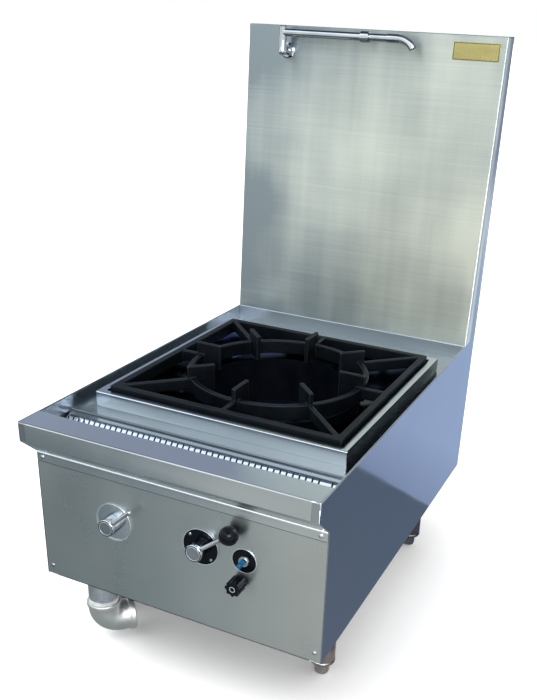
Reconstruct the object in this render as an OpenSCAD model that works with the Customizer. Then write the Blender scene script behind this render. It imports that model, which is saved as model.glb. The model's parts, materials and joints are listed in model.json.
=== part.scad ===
// Free-standing gas stockpot range with a tall splash back, a swing spout and a drained front gutter.
// Millimetres, +Z up, the front faces -Y, and the origin is the floor point under the middle of the whole.
// Inside the modules y is counted from the front panel's face, and z from the floor.

/* [Body] */
// Width over the side panels
body_w = 600; // [560:5:700]
// Depth from the front panel's face to the back
body_d = 870; // [850:5:950]
// Height of the body's top edge above the floor
body_h = 512; // [500:1:600]
// Height of the panels' lower edge above the floor
belly_z = 163; // [140:1:170]
// Thickness of the stainless sheet
sheet_t = 1.5; // [1:0.1:2]
// Height of the lower bend of the front hem
hem_z = 436; // [430:1:440]
// Height of the front hem band
hem_h = 19; // [15:1:25]

/* [Head rail and gutter] */
// How far the front lip stands out past the front panel
lip_out = 42.5; // [30:0.5:60]
// Height of the lip's upright face
lip_h = 38.5; // [30:0.5:50]
// Depth of the lip's top behind the front panel's face
lip_back = 14.6; // [10:0.1:20]
// Height of the gutter's underside above the floor
gutter_z = 401; // [395:1:405]
// Width of one slot in the strainer
slot_w = 3.2; // [2:0.1:5]
// Spacing of the strainer's slots
slot_pitch = 12.37; // [10:0.01:15]

/* [Top] */
// Height of the deck's surface above the floor
deck_z = 481; // [478:1:484]
// Distance of the deck's front edge from the front panel's face
deck_y = 108; // [105:1:112]
// Outer width of the raised square curb
curb_w = 535; // [525:1:540]
// Inner width of the raised square curb
curb_in = 504; // [500:1:508]
// Height of the curb above the deck
curb_h = 30.5; // [28:0.5:31]
// Distance of the burner's axis from the front panel's face
burner_y = 411; // [405:1:420]

/* [Trivet] */
// Outer width of the trivet's square frame
trivet_w = 495; // [490:1:497]
// Width of the frame's bars
bar_w = 14; // [12:0.5:16]
// Depth of the casting under its flat top
bar_h = 28; // [24:1:30]
// Outer radius of the ring band
ring_r = 190; // [185:1:195]
// Thickness of the ring band
ring_t = 12; // [10:0.5:14]
// Number of pot fingers
fingers = 8; // [4:4:8]
// Distance from the axis to a finger's inner end
finger_in = 138; // [120:1:150]
// Distance from the axis to a finger's outer end
finger_out = 195; // [192:1:200]
// Thickness of a finger
finger_t = 9; // [8:0.5:11]
// Height of the fingers above the flat top
finger_h = 26; // [20:1:35]

/* [Splash back] */
// Height of the splash back's top above the floor
splash_top = 1171; // [1100:1:1200]
// Depth of the splash box at its foot
splash_d = 81.5; // [80:0.5:85]
// How far the splash back's face leans back over its height
splash_lean = 34; // [0:1:36]

/* [Legs and drain] */
// Outer diameter of a leg tube
leg_d = 50.8; // [48:0.1:55]
// Distance of the legs' axes from the middle plane
leg_x = 237; // [230:1:240]
// Distance of the front legs from the front panel's face
leg_front_y = 165; // [150:1:180]
// Distance of the rear legs from the front panel's face
leg_rear_y = 706; // [690:1:720]
// Height of a foot cup
foot_h = 27.5; // [25:0.5:30]
// Outer diameter of the drain pipe
drain_d = 60.3; // [55:0.1:60.3]
// Sideways place of the drain pipe
drain_x = -209; // [-215:1:-205]
// Distance of the drain pipe from the front panel's face
drain_y = 54; // [54:1:60]
// Height of the drain elbow's centre
elbow_z = 45; // [42:1:55]
// Turn of the drain's outlet away from +X, towards the back
outlet_turn = 49; // [30:1:50]

/* [Controls] */
// Sideways place of the gas tap
gas_x = 56.6; // [50:0.1:60]
// Height of the gas tap
gas_z = 333.6; // [330:0.1:336]
// Sideways place of the water tap
water_x = -129.9; // [-135:0.1:-125]
// Height of the water tap
water_z = 329.5; // [325:0.1:333]
// Sideways place of the igniter
igniter_x = 144.2; // [143:0.1:147]
// Height of the igniter
igniter_z = 331.2; // [328:0.1:334]
// Sideways place of the pilot tap
pilot_x = 138.5; // [137:0.1:140]
// Height of the pilot tap
pilot_z = 289; // [286:1:290]
// Diameter of the lever hubs
hub_d = 34; // [32:0.5:36]
// Diameter of the lever rods
rod_d = 8; // [7:0.5:9]
// Angle of the gas lever above the horizontal
gas_angle = 38.5; // [35:0.5:42]
// Angle of the water lever above the horizontal
water_angle = 42; // [35:0.5:45]
// Diameter of the ball grip
ball_d = 35; // [30:0.5:36]

/* [Hidden] */
$fn = 64;

// Colours
steel = "#b9bfbd";
bright = "#d8dcde";
iron = "#23272f";
soot = "#15161a";
black = "#1b1c1e";
brass = "#b99a5a";
copper = "#b87350";
galv = "#9a9da0";

// Body
half_w = body_w / 2;
inner_x = half_w - sheet_t;
panel_y = lip_out - (lip_out + body_d) / 2;
back_y = body_d - 25;
flange_w = 20;
nose_flange = 17;
lip_z = body_h - lip_h;
eps = 0.01;

// Frame tubes stand on the panels' lower flanges
tube_w = 15;
tube_h = 30;
tube_t = 1.5;
frame_x = inner_x - 2;
frame_y0 = 4.5;
frame_y1 = back_y - 2.5;
frame_z = belly_z + sheet_t;
cross_w = 40;

// Panel screws
screw_x = half_w - 14;
screw_top_z = hem_z - hem_h / 2 - 0.5;
screw_low_z = belly_z + 20.5;
screw_r = 2.4;
screw_hole = 2.5;
screw_head_r = 4.5;

// Deck, curb and pan
curb_top = deck_z + curb_h;
ledge_w = 14;
ledge_z = curb_top + 9 - bar_h;
ring_clear = 2;
upstand_y = body_d - splash_d - sheet_t;
strainer_z = deck_z - 4;
seat_z = strainer_z - sheet_t - 0.2;
strainer_foot_y = 36;
strainer_end = inner_x - 4.5;
strainer_brow = deck_y - 21.5;
slots_side = half_w - 9.2;
slot_count = floor(2 * slots_side / slot_pitch) + 1;
slot_skipped = slot_count - 4;
strainer_slope = strainer_foot_y + 8;
pan_w = curb_in - 2 * ledge_w;
pan_z = deck_z - 26;
drum_r = 175;
drum_t = 2;
drum_top = deck_z - 3;
drum_low = deck_z - 181;

// Trivet
trivet_top = ledge_z + bar_h;
trivet_hole = trivet_w / 2 - bar_w;
finger_top = trivet_top + finger_h;
rib_t = 10;
rib_h = 24;
corner_cut = 8.3;

// Burner and gas
burner_r = 125;
bowl_z = drum_low + 18;
rim_z = drum_low + 85;
support_y = 45;
tube_r = 24;
mouth_y = 212;
feed_end_y = mouth_y - 26;
manifold_y = 34;
manifold_z = 240;
gas_pipe_r = 13.45;
gas_thread_r = 13.22;
pipe_x = half_w - 50;
pipe_end_y = body_d - 4;
pipe_thread = 18;
tap_y = 30;
hub_front = 28;
plate_screw_r = 30;
plate_screws = [135, -45];
lever_y = 20;
tap_back = 50;
pilot_riser_y = 345;
pilot_head_z = 392;
spark_y = 333;
elbow_bend = 34;
bracket_x = 150;
bracket_w = 26;
tap_inlet = 32;
pilot_inlet = 20;
gas_bend_r = 30;
elbow_out = 60;

// Water
water_pipe_r = 10.65;
water_thread_r = 10.48;
riser_pipe_r = 7.5;
water_run_y = 112;
riser_x = 38 - half_w;
riser_y = body_d - 38;
faucet_x = 101 - half_w;
faucet_z = splash_top - 52;
faucet_y = riser_y - 41;
swivel_z = splash_top - 23;
arm_z = splash_top - 14;
arm_reach = 187;
bend_r = 22;
water_bend_r = 24;

// Shaft clearance
running = 0.05;

// Splash back
splash_y = body_d - splash_d;
lean_angle = atan(splash_lean / (splash_top - body_h));

// Depth of the splash back's face at height z
function face_y(z) = splash_y + splash_lean * (z - body_h) / (splash_top - body_h);

// Unit direction from a to b
function toward(a, b) = (b - a) / norm(b - a);

// Direction turned a quarter turn to the left
function left(d) = [-d[1], d[0]];

// Corner points of a line shifted by t to its left, with mitred corners
function shifted(pts, t) = [
    for (i = [0 : len(pts) - 1])
    let (
        a = left(toward(pts[max(i - 1, 0)], pts[max(i, 1)])),
        b = left(toward(pts[min(i, len(pts) - 2)], pts[min(i + 1, len(pts) - 1)]))
    )
    pts[i] + (a + b) * t / (1 + a * b)
];

// Outline of a sheet folded along a line, with its thickness to the left of it
function folded(pts, t) = let (inner = shifted(pts, t)) concat(
    pts, [for (i = [len(pts) - 1 : -1 : 0]) inner[i]]);

// Moves children from the front panel's frame to the object's frame
module from_panel() {
    translate([0, panel_y, 0]) children();
}

// Extrudes a (y, z) outline along X, from x0 to x1
module along_x(x0, x1) {
    translate([x0, 0, 0]) rotate([90, 0, 90]) linear_extrude(x1 - x0) children();
}

// Cylinder along Y from y0 to y1
module rod_y(x, z, y0, y1, r) {
    translate([x, y0, z]) rotate([-90, 0, 0]) cylinder(r = r, h = y1 - y0);
}

// Cone along Y from radius r0 at y0 to r1 at y1
module cone_y(x, z, y0, y1, r0, r1) {
    translate([x, y0, z]) rotate([-90, 0, 0]) cylinder(r1 = r0, r2 = r1, h = y1 - y0);
}

// Box from its lowest to its highest corner
module box(lo, hi) {
    translate(lo) cube(hi - lo);
}

// Square ring around the burner's axis
module square_ring(out, in, z0, z1) {
    translate([0, burner_y, z0]) difference() {
        translate([-out, -out, 0]) cube([2 * out, 2 * out, z1 - z0]);
        translate([-in, -in, -1]) cube([2 * in, 2 * in, z1 - z0 + 2]);
    }
}

// Straight round bar between two points on a line parallel to an axis
module bar(a, b, r) {
    d = toward(a, b);
    translate(a) rotate([0, acos(d[2]), atan2(d[1], d[0])]) cylinder(r = r, h = norm(b - a));
}

// Quarter bend that turns from direction a to direction b around the corner p
module quarter(p, a, b, r, bend) {
    c = p + bend * (b - a);
    n = cross(a, b);
    multmatrix([
        [-b[0], a[0], n[0], c[0]],
        [-b[1], a[1], n[1], c[1]],
        [-b[2], a[2], n[2], c[2]],
        [0, 0, 0, 1]
    ]) rotate_extrude(angle = 90) translate([bend, 0]) circle(r = r);
}

// Round pipe through corner points, all legs parallel to the axes, with bent corners
module route(pts, r, bend) {
    last = len(pts) - 1;
    for (i = [0 : last - 1]) {
        d = toward(pts[i], pts[i + 1]);
        bar(pts[i] + (i > 0 ? bend : 0) * d, pts[i + 1] - (i < last - 1 ? bend : 0) * d, r);
    }
    for (i = [1 : last - 1]) {
        quarter(pts[i], toward(pts[i - 1], pts[i]), toward(pts[i], pts[i + 1]), r, bend);
    }
}

// Hollow pipe along a route
module pipe(pts, r, wall, bend) {
    difference() {
        route(pts, r, bend);
        route(pts, r - wall, bend);
    }
}

// Square tube with open ends, along X or along Y
module tube_x(x0, x1, y, z, w) {
    difference() {
        box([x0, y, z], [x1, y + w, z + tube_h]);
        box([x0 - 1, y + tube_t, z + tube_t], [x1 + 1, y + w - tube_t, z + tube_h - tube_t]);
    }
}

module tube_y(y0, y1, x, z, w) {
    difference() {
        box([x, y0, z], [x + w, y1, z + tube_h]);
        box([x + tube_t, y0 - 1, z + tube_t], [x + w - tube_t, y1 + 1, z + tube_h - tube_t]);
    }
}

// Welded ring of square tubes with two wider cross tubes over the legs
module base_frame() {
    color(galv) from_panel() {
        difference() {
            tube_x(-frame_x, frame_x, frame_y0, frame_z, tube_w);
            screw_holes();
        }
        tube_x(-frame_x, frame_x, frame_y1 - tube_w, frame_z, tube_w);
        for (x = [-frame_x, frame_x - tube_w]) {
            tube_y(frame_y0 + tube_w, frame_y1 - tube_w, x, frame_z, tube_w);
        }
        for (y = [leg_front_y, leg_rear_y]) {
            tube_x(-frame_x + tube_w, frame_x - tube_w, y - cross_w / 2, frame_z, cross_w);
        }
    }
}

// Leg with its top plate and its end cap, which is bored for the foot's stud
module leg(x, y) {
    plate_w = 76;
    plate_t = 3;
    cap_z = foot_h + 0.5;
    cap_h = 9;
    r = leg_d / 2;
    color(galv) from_panel() translate([x, y, 0]) difference() {
        union() {
            translate([-plate_w / 2, -plate_w / 2, frame_z - plate_t]) cube([plate_w, plate_w, plate_t]);
            translate([0, 0, cap_z + cap_h]) cylinder(r = r, h = frame_z - plate_t - cap_z - cap_h);
            rotate_extrude() polygon(concat(
                [[0, cap_z], [r - 3, cap_z]],
                [for (a = [-60 : 30 : 60]) [r - 2.7 + 3.5 * cos(a), cap_z + cap_h / 2 + 4.4 * sin(a)]],
                [[r - 1.2, cap_z + cap_h], [0, cap_z + cap_h]]
            ));
        }
        translate([0, 0, cap_z + cap_h + 22]) cylinder(r = r - 2, h = frame_z);
        translate([0, 0, 0]) cylinder(r = 6 + running, h = cap_z + cap_h + 30);
    }
}

module leg_front_left() { leg(-leg_x, leg_front_y); }

module leg_front_right() { leg(leg_x, leg_front_y); }

module leg_rear_left() { leg(-leg_x, leg_rear_y); }

module leg_rear_right() { leg(leg_x, leg_rear_y); }

// Foot cup with the stud that screws into the leg
module foot(x, y) {
    color(galv) from_panel() translate([x, y, 0]) {
        rotate_extrude() polygon([[0, 0], [11.5, 0], [13.6, 1.6], [14.6, 5], [15.2, foot_h - 3],
            [14.4, foot_h - 0.8], [12.5, foot_h], [0, foot_h]]);
        translate([0, 0, foot_h - 5]) cylinder(r = 6, h = 44);
    }
}

module foot_front_left() { foot(-leg_x, leg_front_y); }

module foot_front_right() { foot(leg_x, leg_front_y); }

module foot_rear_left() { foot(-leg_x, leg_rear_y); }

module foot_rear_right() { foot(leg_x, leg_rear_y); }

// Holes for the four panel screws
module screw_holes() {
    for (x = [-screw_x, screw_x], z = [screw_top_z, screw_low_z]) {
        rod_y(x, z, -5, 10, screw_hole);
    }
}

// Right-hand side sheet with its nose, its folded edges and its hem
module side_sheet() {
    along_x(inner_x, half_w) polygon([[0, belly_z], [0, hem_z], [-lip_out, lip_z], [-lip_out, body_h],
        [body_d, body_h], [body_d, belly_z]]);
    box([half_w - nose_flange, -lip_out, lip_z], [half_w, -lip_out + sheet_t, body_h]);
    difference() {
        box([inner_x - flange_w, sheet_t, belly_z], [half_w, 2 * sheet_t, hem_z]);
        screw_holes();
    }
    box([inner_x - flange_w, 2 * sheet_t, belly_z], [half_w, body_d, belly_z + sheet_t]);
    box([inner_x - flange_w, body_d - sheet_t, belly_z], [half_w, body_d, body_h - sheet_t]);
    box([inner_x - sheet_t, lip_back + 2, body_h - 10], [half_w, upstand_y, body_h]);
}

module side_panel_right() {
    color(steel) from_panel() side_sheet();
}

module side_panel_left() {
    color(steel) from_panel() mirror([1, 0, 0]) side_sheet();
}

// Rear panel, set in from the back, with pipe holes and vent slots
module back_panel() {
    vents = 9;
    vent_pitch = 36;
    vent_w = 10;
    color(steel) from_panel() difference() {
        union() {
            box([-inner_x, back_y - sheet_t, frame_z], [inner_x, back_y, body_h - sheet_t]);
            box([-inner_x, back_y, body_h - 2 * sheet_t], [inner_x, back_y + 12, body_h - sheet_t]);
        }
        rod_y(pipe_x, manifold_z, back_y - 5, back_y + 5, gas_pipe_r + 2);
        rod_y(-pipe_x, manifold_z, back_y - 5, back_y + 5, water_pipe_r + 2);
        for (i = [0 : vents - 1]) {
            translate([(i - (vents - 1) / 2) * vent_pitch - vent_w / 2, back_y - 5, 320])
                cube([vent_w, 10, 120]);
        }
    }
}

module front_panel() {
    color(steel) from_panel() difference() {
        union() {
            box([-inner_x + 0.4, 0, belly_z], [inner_x - 0.4, sheet_t, hem_z - 4]);
            box([-inner_x + flange_w + 2, sheet_t, belly_z], [inner_x - flange_w - 2, 18, belly_z + sheet_t]);
        }
        screw_holes();
        rod_y(gas_x, gas_z, -5, 5, 11);
        rod_y(water_x, water_z, -5, 5, 11);
        rod_y(pilot_x, pilot_z, -5, 5, 9);
        rod_y(igniter_x, igniter_z, -5, 5, 9);
    }
}

// Folded lip, its sloping underside and the hem band over the front panel
module head_rail() {
    color(steel) from_panel() difference() {
        along_x(-inner_x, inner_x) polygon(folded([[-sheet_t, hem_z - hem_h], [-sheet_t, hem_z],
            [-lip_out, lip_z], [-lip_out, body_h], [lip_back, body_h], [lip_back, body_h - 22]], -sheet_t));
        for (side = [-1, 1]) {
            translate([side * half_w, 0, 0])
                box([-nose_flange, -lip_out - 1, lip_z - 1], [nose_flange, -lip_out + sheet_t, body_h + 1]);
        }
        screw_holes();
    }
}

// Round-headed screws of the front panel, the upper two through the hem band, and the two
// small screws of the gas escutcheon
module panel_screws() {
    color(bright) from_panel() {
        for (x = [-screw_x, screw_x], top = [0, 1]) {
            y = top == 1 ? -sheet_t : 0;
            z = top == 1 ? screw_top_z : screw_low_z;
            rod_y(x, z, y - eps, 7, screw_r);
            translate([x, y, z]) rotate([90, 0, 0]) rotate_extrude() polygon(concat([[0, 0]],
                [for (a = [0 : 15 : 90]) [screw_head_r * cos(a), 2.6 * sin(a)]]));
        }
        for (a = plate_screws) {
            x = gas_x + plate_screw_r * cos(a);
            z = gas_z + plate_screw_r * sin(a);
            rod_y(x, z, -2 - eps, -0.1, 2);
            cone_y(x, z, -3.4, -2, 2.2, 3);
        }
    }
}

// Deck with the strainer's seat folded along its front and the opening under the curb
module deck() {
    color(steel) from_panel() difference() {
        along_x(-inner_x, inner_x) polygon(folded([[deck_y - 10, seat_z], [deck_y, seat_z],
            [deck_y, deck_z], [upstand_y, deck_z]], -sheet_t));
        translate([0, burner_y, deck_z]) cube([curb_in + 6, curb_in + 6, 20], center = true);
    }
}

// Raised square curb with the ledge that carries the trivet
module pot_curb() {
    out = curb_w / 2;
    in = curb_in / 2;
    color(steel) from_panel() {
        square_ring(out, out - sheet_t, deck_z, curb_top);
        square_ring(out, in, curb_top - sheet_t, curb_top);
        square_ring(in + sheet_t, in, ledge_z - sheet_t, curb_top);
        square_ring(in + sheet_t, in - ledge_w, ledge_z - sheet_t, ledge_z);
    }
}

// Folded strip behind the deck that carries the splash back
module rear_upstand() {
    color(steel) from_panel() difference() {
        along_x(-inner_x, inner_x) polygon(folded([[upstand_y, deck_z - 12], [upstand_y, body_h],
            [body_d - sheet_t, body_h]], -sheet_t));
        translate([riser_x, riser_y, body_h - 10]) cylinder(r = riser_pipe_r + 2, h = 20);
        for (x = [-bracket_x, bracket_x]) {
            translate([x, riser_y, body_h]) cube([bracket_w + 1, bracket_w + 1, 20], center = true);
        }
    }
}

// Gutter channel with closed ends and its drain hole
module gutter_trough() {
    rear = deck_y + 2 * sheet_t;
    color(steel) from_panel() difference() {
        union() {
            along_x(-inner_x, inner_x) polygon(folded([[lip_back, body_h - 4], [lip_back, gutter_z],
                [rear, gutter_z], [rear, deck_z - sheet_t]], sheet_t));
            for (x = [-inner_x, inner_x - sheet_t]) {
                box([x, lip_back, gutter_z], [x + sheet_t, deck_y + sheet_t, seat_z - sheet_t]);
                box([x, lip_back, gutter_z], [x + sheet_t, deck_y - 10, deck_z - sheet_t]);
            }
        }
        translate([drain_x, drain_y, gutter_z - 5]) cylinder(r = drain_d / 2 - 2, h = 20);
    }
}

// Folded strainer with a row of slots down its slope, plain where one slot is left out
module gutter_strainer() {
    color(bright) from_panel() difference() {
        along_x(-strainer_end, strainer_end) polygon(folded([[strainer_foot_y, gutter_z + sheet_t + 0.3],
            [strainer_foot_y, gutter_z + 15], [strainer_brow, strainer_z - 2],
            [strainer_brow + 4, strainer_z], [deck_y - 2, strainer_z]], -sheet_t));
        for (i = [0 : slot_count - 1]) {
            if (i != slot_skipped) {
                translate([i * slot_pitch - slots_side - slot_w / 2, strainer_slope, gutter_z + 5])
                    cube([slot_w, strainer_brow + 2.5 - strainer_slope, 90]);
            }
        }
    }
}

// Square pan under the trivet with a round opening for the drum
module spill_pan() {
    h = pan_w / 2;
    color(bright) from_panel() {
        square_ring(h + 12, h - sheet_t, ledge_z - 2 * sheet_t, ledge_z - sheet_t);
        square_ring(h, h - sheet_t, pan_z, ledge_z - sheet_t);
        difference() {
            box([-h, burner_y - h, pan_z], [h, burner_y + h, pan_z + sheet_t]);
            translate([0, burner_y, pan_z - 5]) cylinder(r = drum_r + 0.5, h = 10, $fn = 128);
        }
    }
}

// Open drum around the burner, hung from the pan by its collar
module burner_drum() {
    color(soot) from_panel() difference() {
        translate([0, burner_y, 0]) difference() {
            union() {
                translate([0, 0, drum_low]) cylinder(r = drum_r, h = drum_top - drum_low, $fn = 128);
                translate([0, 0, pan_z - 3]) cylinder(r = drum_r + 14, h = 3, $fn = 128);
            }
            translate([0, 0, drum_low - 1])
                cylinder(r = drum_r - drum_t, h = drum_top - drum_low + 2, $fn = 128);
        }
        rod_y(gas_x, gas_z, 150, burner_y, tube_r + 3);
        rod_y(igniter_x, igniter_z, 150, burner_y, 5);
    }
}

// Straight radial plate of the trivet casting, from radius a to radius b
module radial(angle, a, b, t, z0, z1) {
    rotate([0, 0, angle]) translate([a, -t / 2, z0]) cube([b - a, t, z1 - z0]);
}

// Ring band of the trivet casting, which stops a little above the pan
module trivet_band() {
    difference() {
        translate([0, 0, ledge_z - ring_clear]) cylinder(r = ring_r, h = bar_h + ring_clear, $fn = 128);
        translate([0, 0, ledge_z - 5]) cylinder(r = ring_r - ring_t, h = bar_h + 10, $fn = 128);
    }
}

// Square of the trivet casting, flat across its inner corners. The three nodes of the
// trivet are one casting that is lifted off as a whole
module trivet_frame() {
    far = trivet_hole;
    near = trivet_hole - corner_cut;
    color(iron) from_panel() translate([0, burner_y, ledge_z]) linear_extrude(bar_h) difference() {
        square(trivet_w, center = true);
        polygon([[far, near], [near, far], [-near, far], [-far, near],
            [-far, -near], [-near, -far], [near, -far], [far, -near]]);
    }
}

module trivet_ring() {
    color(iron) from_panel() translate([0, burner_y, 0]) trivet_band();
}

// Eight arms: an upright pot finger astride the ring band and a rib from its foot out
// to the square's side or corner
module trivet_arms() {
    corner_end = (2 * trivet_hole - corner_cut) / sqrt(2);
    color(iron) from_panel() translate([0, burner_y, 0]) for (i = [0 : fingers - 1]) {
        radial(i * 360 / fingers, finger_out - 1, i % 2 == 0 ? trivet_hole : corner_end,
            rib_t, trivet_top - rib_h, trivet_top);
        difference() {
            radial(i * 360 / fingers, finger_in, finger_out, finger_t, ledge_z - ring_clear, finger_top);
            trivet_band();
        }
    }
}

// Cast burner bowl with its mixing tube and its feet
module burner_base() {
    foot_x = 60;
    wall = 7;
    color(iron) from_panel() difference() {
        union() {
            translate([0, burner_y, 0]) rotate_extrude($fn = 96) polygon([[0, bowl_z],
                [burner_r - 30, bowl_z], [burner_r - 4, bowl_z + 22], [burner_r, rim_z], [0, rim_z]]);
            rod_y(gas_x, gas_z, mouth_y, burner_y - 60, tube_r);
            rod_y(gas_x, gas_z, mouth_y + 8, mouth_y + 16, tube_r + 4);
            for (x = [-foot_x, foot_x], y = [-support_y, support_y]) {
                translate([x, burner_y + y, drum_low]) cylinder(r = 9, h = bowl_z - drum_low + 4);
            }
        }
        translate([0, burner_y, 0]) rotate_extrude($fn = 96) polygon([[0, bowl_z + wall - 1],
            [burner_r - 34, bowl_z + wall - 1], [burner_r - 10, bowl_z + 26],
            [burner_r - wall, rim_z + 1], [0, rim_z + 1]]);
        rod_y(gas_x, gas_z, mouth_y - 1, burner_y - 59, tube_r - 4);
    }
}

// Burner cap with three stepped rings of ports
module burner_cap() {
    rings = 3;
    ports = 24;
    step_w = 36;
    step_h = 8;
    color(iron) from_panel() translate([0, burner_y, 0]) difference() {
        rotate_extrude($fn = 96) polygon([[0, rim_z], [burner_r, rim_z], [burner_r, rim_z + 7],
            [burner_r - 10, rim_z + 17], [burner_r - 4 - step_w, rim_z + 17],
            [burner_r - 10 - step_w, rim_z + 17 + step_h], [burner_r - 4 - 2 * step_w, rim_z + 17 + step_h],
            [burner_r - 10 - 2 * step_w, rim_z + 17 + 2 * step_h], [0, rim_z + 17 + 2 * step_h]]);
        for (k = [0 : rings - 1], i = [0 : ports - 1]) {
            rotate([0, 0, i * 360 / ports + k * 7])
                translate([burner_r - 25 - step_w * k, 0, rim_z - 5]) cylinder(r = 2, h = 50, $fn = 16);
        }
    }
}

// Two flat bars across the drum's foot under the burner
module burner_support() {
    w = 30;
    t = 6;
    reach = sqrt(pow(drum_r, 2) - pow(support_y + w / 2, 2));
    color(galv) from_panel() for (y = [burner_y - support_y, burner_y + support_y]) {
        box([-reach, y - w / 2, drum_low - t], [reach, y + w / 2, drum_low]);
    }
}

// Air shutter, a slotted disc that turns on the mixing tube's mouth
module air_shutter() {
    color(galv) from_panel() difference() {
        rod_y(gas_x, gas_z, mouth_y - 4, mouth_y + 7, tube_r + 6);
        rod_y(gas_x, gas_z, mouth_y - 0.4, mouth_y + 8, tube_r + running);
        rod_y(gas_x, gas_z, mouth_y - 5, mouth_y + 1, 8.6);
        for (a = [45, 225]) {
            translate([gas_x, mouth_y - 5, gas_z]) rotate([-90, a, 0])
                translate([10, -6, 0]) cube([11, 12, 5]);
        }
    }
}

// Brass injector at the end of the feed pipe
module gas_injector() {
    color(brass) from_panel() difference() {
        union() {
            rod_y(gas_x, gas_z, feed_end_y, mouth_y - 8, 11);
            rod_y(gas_x, gas_z, mouth_y - 8, mouth_y + 12, 8.5);
        }
        rod_y(gas_x, gas_z, feed_end_y - 6, mouth_y + 4, 5);
        rod_y(gas_x, gas_z, feed_end_y + 4, mouth_y + 20, 1.5);
    }
}

module gas_feed_pipe() {
    color(copper) from_panel()
        pipe([[gas_x, tap_back + 10, gas_z], [gas_x, feed_end_y, gas_z]], 8, 1.5, bend_r);
}

// Gas inlet along the right side, the manifold across the front and its two branches
module gas_manifold() {
    shoulder_y = pipe_end_y - pipe_thread;
    corner = [pipe_x, manifold_y, manifold_z];
    tee = [gas_x - 20, manifold_y, manifold_z];
    color(galv) from_panel() difference() {
        union() {
            route([[pipe_x, shoulder_y, manifold_z], corner, tee], gas_pipe_r, gas_bend_r);
            bar([pipe_x, shoulder_y - 1, manifold_z], [pipe_x, pipe_end_y, manifold_z], gas_thread_r);
            bar([gas_x, manifold_y, manifold_z], [gas_x, manifold_y, gas_z - tap_inlet], 9);
            bar([pilot_x, manifold_y, manifold_z], [pilot_x, manifold_y, pilot_z - pilot_inlet], 6);
            bar([gas_x - 26, manifold_y, manifold_z], [gas_x - 10, manifold_y, manifold_z], 16);
        }
        route([[pipe_x, pipe_end_y, manifold_z], corner, tee], gas_pipe_r - 2.5, gas_bend_r);
        bar([gas_x, manifold_y, manifold_z], [gas_x, manifold_y, gas_z - tap_inlet + 1], 6.5);
        bar([pilot_x, manifold_y, manifold_z], [pilot_x, manifold_y, pilot_z - pilot_inlet + 1], 4);
    }
}

// Tap body behind the panel: stem bush, square body, rear outlet and lower inlet
module tap_body(x, z, half, bush_r, inlet) {
    stem_r = 5;
    difference() {
        union() {
            rod_y(x, z, sheet_t, tap_y - half, bush_r + 4);
            rod_y(x, z, 0 - 0.5, sheet_t, bush_r);
            box([x - half, tap_y - half, z - half], [x + half, tap_y + half, z + half]);
            rod_y(x, z, tap_y + half, tap_back + 10, 10);
            bar([x, manifold_y, z - half], [x, manifold_y, z - inlet], 10);
        }
        rod_y(x, z, -5, tap_y - 4, stem_r + running);
        rod_y(x, z, tap_y + 6, tap_back + 11, 6.5);
        bar([x, manifold_y, z - half + 4], [x, manifold_y, z - inlet - 1], 6.5);
    }
}

module gas_valve_body() {
    color(brass) from_panel() tap_body(gas_x, gas_z, 16, 10, tap_inlet);
}

module water_valve_body() {
    color(brass) from_panel() tap_body(water_x, water_z, 16, 10, tap_inlet);
}

module gas_escutcheon() {
    color(black) from_panel() difference() {
        rod_y(gas_x, gas_z, -2, 0, 36);
        rod_y(gas_x, gas_z, -5, 5, 11);
        for (a = plate_screws) {
            rod_y(gas_x + plate_screw_r * cos(a), gas_z + plate_screw_r * sin(a), -5, 5, 2.05);
        }
    }
}

// Lever: stem in the tap, hub in front of the escutcheon and a rod at an angle
module lever(x, z, angle, hub_y, reach, neck) {
    r = hub_d / 2;
    rod_y(x, z, hub_y - 1, tap_y - 6, 5);
    depth = hub_front + hub_y;
    translate([x, hub_y, z]) rotate([90, 0, 0]) rotate_extrude() polygon([[0, 0], [neck, 0], [neck, 10],
        [r, 11], [r, depth - 1.2], [r - 1.2, depth], [0, depth]]);
    translate([x, -lever_y, z]) rotate([0, 90 - angle, 0]) {
        cylinder(r = rod_d / 2, h = reach - rod_d / 2);
        translate([0, 0, reach - rod_d / 2]) sphere(r = rod_d / 2);
    }
}

module gas_lever() {
    color(bright) from_panel() lever(gas_x, gas_z, gas_angle, -3, 78, 14);
}

module gas_lever_ball() {
    reach = 86;
    color(black) from_panel() translate([gas_x, -lever_y, gas_z]) rotate([0, 90 - gas_angle, 0])
        difference() {
            union() {
                translate([0, 0, reach]) sphere(r = ball_d / 2);
                translate([0, 0, reach - ball_d / 2 - 2]) cylinder(r = 6.5, h = 8);
            }
            translate([0, 0, reach - 36]) cylinder(r = rod_d / 2, h = 24);
            translate([0, 0, reach - 12]) sphere(r = rod_d / 2);
        }
}

module water_escutcheon() {
    color(bright) from_panel() translate([water_x, 0, water_z]) rotate([90, 0, 0]) difference() {
        rotate_extrude($fn = 96) polygon([[0, 0], [38, 0], [37.6, 0.9], [30, 1.9], [20, 2.6], [0, 2.6]]);
        translate([0, 0, -5]) cylinder(r = 11, h = 20);
    }
}

module water_lever() {
    color(bright) from_panel() lever(water_x, water_z, water_angle, -3.2, 70, hub_d / 2);
}

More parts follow.
